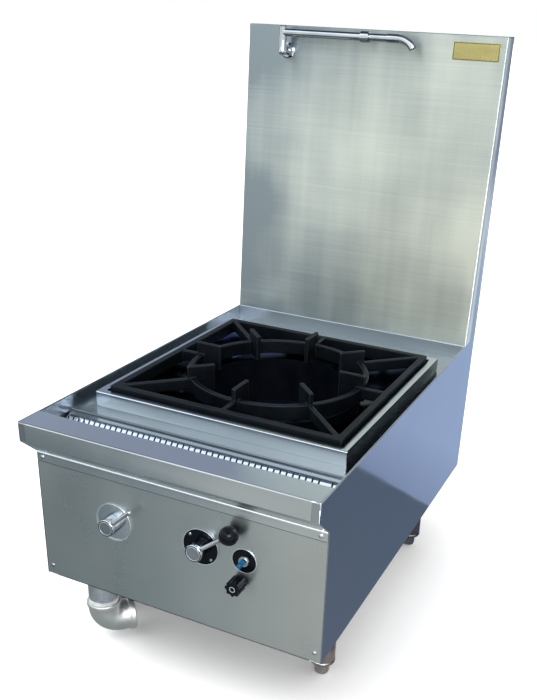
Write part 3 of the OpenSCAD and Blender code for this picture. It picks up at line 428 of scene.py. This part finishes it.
# Painted highlight: near-white metal for rims and beads that stand for bright edges.
highlight_rim_metal = metal_finish("painted_highlight_rim", (0.95, 0.97, 0.98), (0.84, 0.87, 0.89), 0.36)
# Painted shade: dark metal for strips and rings that stand for shade in steps and recesses.
line_shade = metal_finish("line_shade", (0.17, 0.19, 0.20), (0.11, 0.125, 0.135), 0.4)
copper = metal_finish("copper", (0.72, 0.42, 0.29), (0.50, 0.26, 0.17), 0.28)
lead = gloss_finish("lead_sheath", (0.42, 0.12, 0.10), (0.30, 0.08, 0.07), 0.4)
ceramic = ceramic_finish("ceramic")

NODE_MATERIALS = {
    steel_front: ["front_panel"],
    steel_back: ["back_panel", "splash_back"],
    steel_rail: ["head_rail"],
    shaded_deck_steel: ["deck"],
    shaded_gutter_steel: ["gutter_trough"],
    lit_and_shaded_curb_steel: ["pot_curb"],
    steel_rear: ["rear_upstand"],
    steel_side: ["side_panel_right"],
    steel_wall: ["side_panel_left"],
    steel_splash: ["splash_front"],
    shaded_pan_steel: ["spill_pan"],
    slot_steel: ["gutter_strainer"],
    plate_chrome: ["water_escutcheon"],
    chrome: ["panel_screws", "gas_lever", "water_lever",
             "faucet_flange", "faucet_body", "faucet_pipe", "faucet_spout", "igniter_body"],
    zinc: ["base_frame", "splash_brackets", "gas_manifold", "water_inlet_pipe", "burner_support",
           "air_shutter", "drain_pipe"],
    black_iron: ["burner_base", "burner_cap"],
    leg_metal: ["leg_front_left", "leg_front_right", "leg_rear_left", "leg_rear_right"],
    foot_metal: ["foot_front_left", "foot_front_right", "foot_rear_left", "foot_rear_right"],
    lit_elbow_metal: ["drain_elbow"],
    soot: ["burner_drum"],
    iron: ["trivet_frame", "trivet_ring", "trivet_arms"],
    black: ["gas_lever_ball", "pilot_knob", "gas_escutcheon", "igniter_disc"],
    brass: ["gas_valve_body", "water_valve_body", "pilot_valve_body", "gas_injector", "pilot_burner"],
    gold: ["badge_plate"],
    copper: ["gas_feed_pipe", "pilot_tube", "water_riser_pipe"],
    blue: ["igniter_button"],
    lead: ["spark_lead"],
    ceramic: ["spark_electrode"],
}
material_of = {n: material for material, names in NODE_MATERIALS.items() for n in names}
body_of = {n: body for body, members in frame["record"]["behaviour"]["bodies"].items() for n in members}
for name, cad in nodes.items():
    cad.data.materials.clear()
    cad.data.materials.append(material_of[name])


# Pieces
def add_object(name, mesh):
    made = bpy.data.objects.new(name, mesh)
    bpy.context.scene.collection.objects.link(made)
    return made


def finished(piece, like, *replaced):
    """Gives a piece the body, slot and material of the node it stands for."""
    piece.data.materials.clear()
    piece.data.materials.append(material_of[like])
    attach(piece, body_of[like])
    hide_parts(*(replaced or (like,)))
    return piece


def clean_copy(name):
    """Welded copy of a node's mesh with its flat faces merged."""
    bm = bmesh.new()
    bm.from_mesh(nodes[name].data)
    bmesh.ops.remove_doubles(bm, verts=bm.verts, dist=1e-6)
    bmesh.ops.dissolve_limit(bm, angle_limit=math.radians(0.6), verts=bm.verts, edges=bm.edges)
    bmesh.ops.recalc_face_normals(bm, faces=bm.faces)
    return bm


SHARP = 32.0


def smooth(mesh, angle=SHARP):
    mesh.shade_smooth()
    mesh.set_sharp_from_angle(angle=math.radians(angle))


def bevel(piece, width, segments, by_weight=False):
    made = piece.modifiers.new("edges", "BEVEL")
    made.width = width
    made.segments = segments
    made.limit_method = "WEIGHT" if by_weight else "ANGLE"
    made.angle_limit = math.radians(SHARP)
    made.use_clamp_overlap = not by_weight
    made.harden_normals = False
    made.miter_outer = "MITER_ARC"


def breadth(face):
    """Width of a long face: twice its area over its perimeter."""
    return 2 * face.calc_area() / face.calc_perimeter()


def kept_inside(piece, name):
    """The piece's shape with its modifiers in it and no vertex outside the node's box."""
    bpy.context.view_layer.update()
    mesh = bpy.data.meshes.new_from_object(piece.evaluated_get(bpy.context.evaluated_depsgraph_get()))
    lo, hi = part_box(name)
    for v in mesh.vertices:
        v.co = [min(max(c, low), high) for c, low, high in zip(v.co, lo, hi)]
    piece.modifiers.clear()
    piece.data = mesh


OUTER_BEND = 2.2 * MM
INNER_BEND = OUTER_BEND - SHEET
CUT_EDGE = 0.35 * MM
THIN_FACE = 2.6 * MM
FLAT_FOLD = math.radians(12)


def folded_sheet(name):
    """Sheet node with soft outer bends and fine cut edges."""
    bm = clean_copy(name)
    weight = bm.edges.layers.float.new("bevel_weight_edge")
    for e in bm.edges:
        if len(e.link_faces) != 2 or e.calc_face_angle(0.0) < FLAT_FOLD:
            continue
        if min(breadth(f) for f in e.link_faces) < THIN_FACE:
            e[weight] = CUT_EDGE / OUTER_BEND
        elif e.is_convex:
            e[weight] = 1.0
        else:
            e[weight] = INNER_BEND / OUTER_BEND
    mesh = bpy.data.meshes.new(name + "_sheet")
    bm.to_mesh(mesh)
    bm.free()
    smooth(mesh)
    piece = add_object(name + "_sheet", mesh)
    bevel(piece, OUTER_BEND, 3, by_weight=True)
    kept_inside(piece, name)
    return finished(piece, name)


def eased(name, width):
    """Turned, cast or moulded node with its sharp edges taken off."""
    bm = clean_copy(name)
    mesh = bpy.data.meshes.new(name + "_eased")
    bm.to_mesh(mesh)
    bm.free()
    smooth(mesh)
    piece = add_object(name + "_eased", mesh)
    bevel(piece, width, 2)
    return finished(piece, name)


for name in ("side_panel_left", "side_panel_right", "front_panel", "head_rail", "splash_front",
             "deck", "pot_curb", "rear_upstand", "gutter_strainer"):
    folded_sheet(name)
for name, width in {"gas_lever": 0.7, "water_lever": 0.7, "water_escutcheon": 0.3, "faucet_flange": 0.5,
                    "faucet_body": 0.8, "faucet_spout": 0.6, "igniter_body": 0.5, "pilot_knob": 0.7,
                    "gas_escutcheon": 0.5, "igniter_disc": 0.4, "drain_elbow": 1.0, "badge_plate": 0.25,
                    "gas_lever_ball": 0.6}.items():
    eased(name, width * MM)


def boxed(bm, size, matrix):
    made = bmesh.ops.create_cube(bm, size=1.0)
    scale = Matrix.Diagonal((*size, 1.0))
    bmesh.ops.transform(bm, matrix=matrix @ scale, verts=made["verts"])


def closed_ring(bm, rows):
    """Faces from each row of vertices to the next, and from the last row to the first."""
    for i, here in enumerate(rows):
        there = rows[(i + 1) % len(rows)]
        for j in range(len(here)):
            k = (j + 1) % len(here)
            bm.faces.new((here[j], there[j], there[k], here[k]))


def bar_faces(bm, ends):
    """Faces of a straight bar between two equal rows of vertices."""
    count = len(ends[0])
    for j in range(count):
        k = (j + 1) % count
        bm.faces.new((ends[0][j], ends[1][j], ends[1][k], ends[0][k]))
    bm.faces.new(ends[0])
    bm.faces.new(ends[1][::-1])


def lathe(bm, profile, centre, steps):
    """Closed ring from an (r, z) outline turned about a vertical axis."""
    rows = []
    for i in range(steps):
        a = 2 * math.pi * i / steps
        rows.append([bm.verts.new((centre[0] + r * math.cos(a), centre[1] + r * math.sin(a), z))
                     for r, z in profile])
    closed_ring(bm, rows)


def as_object(name, bm):
    bmesh.ops.recalc_face_normals(bm, faces=bm.faces)
    mesh = bpy.data.meshes.new(name)
    bm.to_mesh(mesh)
    bm.free()
    return add_object(name, mesh)


def fused(base, others):
    """Exact union of closed solids that overlap, as one mesh."""
    for other in others:
        union = base.modifiers.new("union", "BOOLEAN")
        union.operation = "UNION"
        union.solver = "EXACT"
        union.object = other
    bpy.context.view_layer.update()
    mesh = bpy.data.meshes.new_from_object(base.evaluated_get(bpy.context.evaluated_depsgraph_get()))
    base.modifiers.clear()
    base.data = mesh
    for other in others:
        bpy.data.objects.remove(other)
    bm = bmesh.new()
    bm.from_mesh(mesh)
    bmesh.ops.remove_doubles(bm, verts=bm.verts, dist=2e-5)
    bmesh.ops.dissolve_limit(bm, angle_limit=math.radians(0.5), verts=bm.verts, edges=bm.edges)
    bm.to_mesh(mesh)
    bm.free()
    return base


FRAME_BAR = 14 * MM
FRAME_CORNER = 10 * MM
RING_BAND = 12 * MM
RIB_W = 10 * MM
RIB_H = 24 * MM
RIB_START = 185 * MM
FINGER_W = 9 * MM
FINGER_L = 57 * MM
FINGER_MID = 166.5 * MM
VOXEL = 1.7 * MM


def trivet_casting():
    """The trivet as one casting: frame, ring band, ribs and straddling fingers."""
    frame_lo, frame_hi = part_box("trivet_frame")
    ring_lo, ring_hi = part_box("trivet_ring")
    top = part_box("trivet_arms")[1].z
    half = frame_hi.x
    hole = half - FRAME_BAR
    inset = hole - FRAME_CORNER
    ring_r = ring_hi.x
    ring_in = ring_r - RING_BAND
    centre = Vector((0, BURNER_Y, 0))
    outline = []
    for sx, sy, start in ((1, 1, 0), (-1, 1, 90), (-1, -1, 180), (1, -1, 270)):
        for a in range(start, start + 91, 15):
            outline.append((sx * inset + FRAME_CORNER * math.cos(math.radians(a)),
                            sy * inset + FRAME_CORNER * math.sin(math.radians(a))))
    bm = bmesh.new()
    boxed(bm, (2 * half, 2 * half, frame_hi.z - frame_lo.z),
          Matrix.Translation(centre + Vector((0, 0, (frame_lo.z + frame_hi.z) / 2))))
    square = as_object("trivet_casting", bm)
    bm = bmesh.new()
    rows = [[bm.verts.new((x, BURNER_Y + y, z)) for x, y in outline]
            for z in (frame_lo.z - 0.01, frame_hi.z + 0.01)]
    bm.faces.new(rows[0][::-1])
    bm.faces.new(rows[1])
    for i in range(len(outline)):
        k = (i + 1) % len(outline)
        bm.faces.new((rows[0][i], rows[0][k], rows[1][k], rows[1][i]))
    cutter = as_object("cutter", bm)
    cut = square.modifiers.new("hole", "BOOLEAN")
    cut.operation = "DIFFERENCE"
    cut.solver = "EXACT"
    cut.object = cutter
    bm = bmesh.new()
    lathe(bm, [(ring_in, ring_lo.z), (ring_r, ring_lo.z), (ring_r, ring_hi.z), (ring_in, ring_hi.z)],
          centre, 128)
    band = as_object("band", bm)
    bars = []
    for i in range(8):
        turn = Matrix.Translation(centre) @ Matrix.Rotation(math.radians(45 * i), 4, "Z")
        end = hole + 3 * MM if i % 2 == 0 else (hole - 1 * MM) * math.sqrt(2)
        bm = bmesh.new()
        boxed(bm, (end - RIB_START, RIB_W, RIB_H),
              turn @ Matrix.Translation(((end + RIB_START) / 2, 0, frame_hi.z - RIB_H / 2)))
        bars.append(as_object("rib", bm))
        bm = bmesh.new()
        boxed(bm, (FINGER_L, FINGER_W, top - ring_lo.z),
              turn @ Matrix.Translation((FINGER_MID, 0, (top + ring_lo.z) / 2)))
        bars.append(as_object("finger", bm))
    piece = fused(square, [band] + bars)
    bpy.data.objects.remove(cutter)
    cast = piece.modifiers.new("cast", "REMESH")
    cast.mode = "VOXEL"
    cast.voxel_size = VOXEL
    cast.use_smooth_shade = True
    soften = piece.modifiers.new("soften", "SMOOTH")
    soften.factor = 0.5
    soften.iterations = 4
    return finished(piece, "trivet_frame", "trivet_frame", "trivet_ring", "trivet_arms")


trivet_casting()


def added(name, bm, material, like):
    """Small piece of the dress that rides on the node it is fixed to."""
    piece = as_object(name, bm)
    smooth(piece.data, 40.0)
    piece.data.materials.append(material)
    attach(piece, body_of[like])
    return piece


RING_STEPS = 72


def wound_tape():
    """Thread tape left standing above the elbow's socket."""
    pipe_lo, pipe_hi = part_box("drain_pipe")
    centre = (pipe_lo + pipe_hi) / 2
    pipe_r = (pipe_hi.x - pipe_lo.x) / 2
    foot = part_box("drain_elbow")[1].z
    bm = bmesh.new()
    rows = []
    for i in range(RING_STEPS):
        a = 2 * math.pi * i / RING_STEPS
        top = foot + (9.0 + 0.7 * math.sin(3 * a + 0.6) + 0.4 * math.sin(8 * a)) * MM
        swell = (0.75 + 0.2 * math.sin(5 * a + 1.0)) * MM
        rows.append([bm.verts.new((centre.x + r * math.cos(a), centre.y + r * math.sin(a), z))
                     for r, z in ((pipe_r - 0.2 * MM, foot - 0.5 * MM), (pipe_r + swell, foot - 0.5 * MM),
                                  (pipe_r + swell, foot + 4 * MM), (pipe_r + 0.45 * MM, top - 0.6 * MM),
                                  (pipe_r - 0.2 * MM, top))])
    closed_ring(bm, rows)
    added("thread_tape_ring", bm, tape, "drain_pipe")


def rolled_edge():
    """Rolled top edge of the hem and two finer beads over it, proud of the fold behind them."""
    rail_lo, rail_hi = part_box("head_rail")
    y = PANEL_Y - SHEET
    bm = bmesh.new()
    beads = ((HEM_Z - 1.0 * MM, 1.1 * MM), (HEM_Z + 2.6 * MM, 0.6 * MM), (HEM_Z + 5.4 * MM, 0.6 * MM))
    for z, r in beads:
        rows = []
        for x in (rail_lo.x + 0.3 * MM, rail_hi.x - 0.3 * MM):
            rows.append([bm.verts.new((x, y - r * math.sin(a), z + r * math.cos(a)))
                         for a in [math.radians(15 * k) for k in range(13)]])
        bar_faces(bm, rows)
    added("hem_edge", bm, steel_rail, "head_rail")


# By default the ring is the near-white metal of a painted highlight.
def face_ring(name, like, inner, outer, proud, depth, around=None, front=None, material=highlight_rim_metal):
    """Ring on the front of a round piece, its section from proud of the face to depth behind.

    Around names another piece to take the ring's middle from."""
    lo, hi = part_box(around or like)
    front = lo.y if front is None else front
    x, z = (lo.x + hi.x) / 2, (lo.z + hi.z) / 2
    section = [(inner, front - proud * 0.4), ((inner + outer) / 2, front - proud),
               (outer, front - proud * 0.4), (outer, front + depth), (inner, front + depth)]
    bm = bmesh.new()
    rows = []
    for i in range(RING_STEPS):
        a = 2 * math.pi * i / RING_STEPS
        rows.append([bm.verts.new((x + r * math.cos(a), y, z + r * math.sin(a))) for r, y in section])
    closed_ring(bm, rows)
    added(name, bm, material, like)


def hem_shade_line():
    """Dark strip of painted shade along the lower edge of the hem band, over the front panel."""
    rail_lo, rail_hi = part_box("head_rail")
    high = HEM_Z - HEM_H - 0.1 * MM
    low = high - 2.1 * MM
    back, front = PANEL_Y + 0.2 * MM, PANEL_Y - 0.25 * MM
    section = [(back, low), (front, low + 0.3 * MM), (front, high), (back, high)]
    bm = bmesh.new()
    bar_faces(bm, [[bm.verts.new((x, y, z)) for y, z in section]
                   for x in (rail_lo.x + 2 * MM, rail_hi.x - 2 * MM)])
    added("hem_shade_line", bm, line_shade, "front_panel")


def half_width(node):
    lo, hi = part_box(node)
    return (hi.x - lo.x) / 2


wound_tape()
rolled_edge()
# The rims are near-white metal: painted highlight.
for round_piece in ("gas_escutcheon", "igniter_disc", "water_escutcheon"):
    wide = half_width(round_piece)
    face_ring(round_piece + "_rim", round_piece, wide - 0.6 * MM, wide + 0.5 * MM, 0.3 * MM, 0.8 * MM)
HUB_FACE = PANEL_Y - HUB_REACH
for lever, plate in (("gas_lever", "gas_escutcheon"), ("water_lever", "water_escutcheon")):
    # Painted shade: a dark ring, proud of the hub's face, stands for a groove's shade.
    face_ring(lever + "_shade_ring", lever, 13.9 * MM, 16.1 * MM, 0.15 * MM, 0.5 * MM, plate, HUB_FACE,
              line_shade)
    # The bead is near-white metal: painted highlight.
    face_ring(lever + "_bead", lever, 12.9 * MM, 13.8 * MM, 0.3 * MM, 0.5 * MM, plate, HUB_FACE)
hem_shade_line()
# The knob's ring is near-white metal: painted highlight.
face_ring("pilot_knob_ring", "pilot_knob", 4.2 * MM, 5.8 * MM, 0.4 * MM, 0.5 * MM)


# Stage
def only_glossy(card):
    """Let a card show in reflections and light nothing."""
    card.visible_camera = False
    card.visible_diffuse = False
    card.visible_shadow = False
    card.visible_transmission = False
    card.visible_volume_scatter = False


def staged(name, corners, material, turn=0.0, glossy_only=False):
    bm = bmesh.new()
    bm.faces.new([bm.verts.new(c) for c in corners])
    made = as_object(name, bm)
    made.rotation_euler.z = math.radians(turn)
    made.data.materials.append(material)
    if glossy_only:
        only_glossy(made)
    return made


def flat(x0, x1, y0, y1, z):
    return [(x0, y0, z), (x1, y0, z), (x1, y1, z), (x0, y1, z)]


def upright(x0, x1, y, height):
    return [(x0, y, 0), (x1, y, 0), (x1, y, height), (x0, y, height)]


def floor_material():
    """Pale floor that glows to the eye and in reflections, the glow dimmed where things stand over it: a
    painted shadow.
    """
    g = Graph("floor")
    path = g.add("ShaderNodeLightPath")
    mirrored = g.math("MAXIMUM", path.outputs["Is Glossy Ray"], path.outputs["Is Transmission Ray"])
    seen = g.math("ADD", path.outputs["Is Camera Ray"], g.math("MULTIPLY", mirrored, 0.3))
    open_sky = g.add("ShaderNodeAmbientOcclusion")
    open_sky.samples = 6
    open_sky.inputs["Distance"].default_value = 1.2
    # Painted shadow: the glow follows ambient occlusion, darker under and beside the range.
    glow = g.math("ADD", g.math("MULTIPLY", open_sky.outputs["AO"], 0.75), 0.05)
    g.link(g.math("MULTIPLY", seen, glow), g.bsdf.inputs["Emission Strength"])
    g.set(Base_Color=(0.93, 0.93, 0.93, 1), Roughness=0.9, Specular_IOR_Level=0.0,
          Emission_Color=(1, 1, 1, 1))
    return g.material


def card_material(name, axis, stops, ripple=0.0):
    """Glow that changes along one axis of the card."""
    g = Graph(name)
    split = g.add("ShaderNodeSeparateXYZ")
    g.link(g.place, split.inputs[0])
    g.set(Base_Color=(0, 0, 0, 1), Specular_IOR_Level=0.0, Emission_Strength=1.0)
    along = split.outputs[axis]
    if ripple:
        wave = g.noise((4, 4, 4), detail=3.0)
        along = g.math("ADD", along, g.math("MULTIPLY", g.math("SUBTRACT", wave, 0.5), ripple))
    first, last = stops[0][0], stops[-1][0]
    at = g.span(along, 0.0, 1.0, first, last)
    ramp = g.ramp(at, [((s - first) / (last - first), colour) for s, colour in stops])
    g.link(ramp, g.bsdf.inputs["Emission Color"])
    return g.material


FAR = 60.0
CARD_Z = 0.002
staged("floor", flat(-FAR, FAR, -FAR, FAR, 0), floor_material())
staged("front_card", flat(-2.6, 1.3, -2.8, -0.1, CARD_Z), card_material("front_card", 0, [
    (-0.30, (0.16, 0.20, 0.22)), (-0.05, (0.18, 0.22, 0.24)), (0.245, (0.26, 0.31, 0.34)),
    (0.40, (0.37, 0.41, 0.42)), (0.55, (0.46, 0.49, 0.49)), (0.80, (0.48, 0.51, 0.51))], 0.06),
    -33.5, True)
staged("side_card", flat(0.20, 3.2, -1.2, 3.4, CARD_Z), card_material("side_card", 1, [
    (-0.6, (0.15, 0.19, 0.26)), (0.275, (0.125, 0.165, 0.235)), (0.284, (0.31, 0.40, 0.60)),
    (0.60, (0.42, 0.53, 0.79)), (1.6, (0.42, 0.55, 0.80))], 0.035), 25.8, True)
BLUE_GREY = (0.37, 0.46, 0.71)
staged("side_screen", upright(-0.5, 5, 5.5, 1.25),
       card_material("side_screen", 0, [(-0.5, BLUE_GREY), (5.0, BLUE_GREY)]),
       glossy_only=True)
staged("far_screen", upright(-9, 3, -7, 3.6),
       card_material("far_screen", 0, [
           (-6.0, (0.58, 0.70, 0.80)), (-4.3, (0.66, 0.79, 0.88)), (-3.75, (0.76, 0.85, 0.88)),
           (-3.58, (0.80, 0.88, 0.86)), (-3.50, (1.16, 1.20, 1.14)), (-3.40, (0.82, 0.91, 0.88)),
           (-3.22, (0.84, 0.92, 0.88)), (-3.14, (1.22, 1.26, 1.16)), (-2.92, (1.06, 1.12, 1.02)),
           (-2.80, (0.86, 0.93, 0.86)), (-2.3, (0.95, 1.02, 0.94)), (-1.9, (1.25, 1.29, 1.16)),
           (-1.45, (1.5, 1.51, 1.34)), (-1.2, (1.4, 1.42, 1.26)), (-0.4, (1.0, 1.05, 1.0))]),
       glossy_only=True)


SKY_R = 40.0


def sky_material():
    """What polished faces see above the horizon: bright in front, blue grey behind."""
    g = Graph("sky")
    split = g.add("ShaderNodeSeparateXYZ")
    g.link(g.place, split.inputs[0])
    high = g.span(split.outputs[2], 0.0, 1.0, 0.0, SKY_R)
    front = g.ramp(high, [(0.0, (1.0, 1.0, 1.0)), (0.15, (0.95, 1.0, 1.04)), (0.40, (1.1, 1.22, 1.34)),
                          (0.60, (1.7, 1.88, 2.05)), (0.845, (1.3, 1.45, 1.6)), (0.865, (0.05, 0.06, 0.08)),
                          (0.93, (0.04, 0.05, 0.07)), (1.0, (0.3, 0.34, 0.4))])
    rear = g.ramp(high, [(0.0, (1.0, 1.0, 1.0)), (0.07, (0.92, 0.95, 1.0)), (0.2, (0.56, 0.63, 0.76)),
                         (0.38, (0.32, 0.375, 0.51)), (0.6, (0.26, 0.30, 0.41)), (0.84, (0.10, 0.12, 0.15)),
                         (0.93, (0.04, 0.05, 0.07)), (1.0, (0.3, 0.34, 0.4))])
    dark = g.ramp(high, [(0.0, (1.0, 1.0, 1.0)), (0.05, (0.70, 0.74, 0.8)), (0.16, (0.04, 0.05, 0.07)),
                         (0.6, (0.03, 0.04, 0.06)), (1.0, (0.3, 0.34, 0.4))])
    east = g.span(split.outputs[0], 0.0, 1.0, -0.05 * SKY_R, 0.25 * SKY_R)
    north = g.span(split.outputs[1], 0.0, 1.0, -0.2 * SKY_R, 0.2 * SKY_R)
    g.link(g.mix(north, front, g.mix(east, rear, dark)), g.bsdf.inputs["Emission Color"])
    g.set(Base_Color=(0, 0, 0, 1), Specular_IOR_Level=0.0, Emission_Strength=1.0)
    return g.material


WINDOW_GLOW = (10.5, 11.5, 13.0)
WINDOW_BAR = (0.3, 0.3, 0.3)


def window_corners():
    """Corners of a window beside the camera, turned to the range."""
    middle = Vector((1.75, -3.0, 2.15))
    look = (Vector((0.0, -0.4, 0.4)) - middle).normalized()
    side = look.cross(Vector((0, 0, 1))).normalized()
    rise = side.cross(look)
    return [middle + side * (1.1 * u) + rise * (0.62 * v) for u, v in ((-1, -1), (1, -1), (1, 1), (-1, 1))]


staged("window", window_corners(), card_material("window", 0, [
    (0.6, WINDOW_GLOW), (1.66, WINDOW_GLOW), (1.70, WINDOW_BAR),
    (1.82, WINDOW_BAR), (1.86, WINDOW_GLOW), (2.9, WINDOW_GLOW)]), glossy_only=True)

sky_mesh = bmesh.new()
bmesh.ops.create_uvsphere(sky_mesh, u_segments=64, v_segments=32, radius=SKY_R)
bmesh.ops.delete(sky_mesh, geom=[v for v in sky_mesh.verts if v.co.z < -0.01], context="VERTS")
sky = as_object("sky", sky_mesh)
sky.data.materials.append(sky_material())
only_glossy(sky)

SUN_ENERGY = 1.6
SUN_FROM = Vector((-0.36, -0.27, 0.89))
sun_data = bpy.data.lights.new("soft_sun", "SUN")
sun_data.energy = SUN_ENERGY
sun_data.angle = math.radians(48)
sun = bpy.data.objects.new("soft_sun", sun_data)
sun.rotation_euler = SUN_FROM.to_track_quat("Z", "Y").to_euler()
sun.visible_glossy = False
bpy.context.scene.collection.objects.link(sun)

WORLD_LIGHT = 0.62
world = bpy.data.worlds.new("studio")
world.use_nodes = True
tree = world.node_tree
path = tree.nodes.new("ShaderNodeLightPath")
shown = tree.nodes.new("ShaderNodeMath")
shown.operation = "MAXIMUM"
tree.links.new(path.outputs["Is Camera Ray"], shown.inputs[0])
tree.links.new(path.outputs["Is Transmission Ray"], shown.inputs[1])
strength = tree.nodes.new("ShaderNodeMapRange")
strength.inputs["To Min"].default_value = WORLD_LIGHT
strength.inputs["To Max"].default_value = 1.0
tree.links.new(shown.outputs[0], strength.inputs[0])
tree.links.new(strength.outputs[0], tree.nodes["Background"].inputs["Strength"])
tree.nodes["Background"].inputs["Color"].default_value = (1, 1, 1, 1)
bpy.context.scene.world = world

bpy.context.scene.view_settings.view_transform = "Standard"
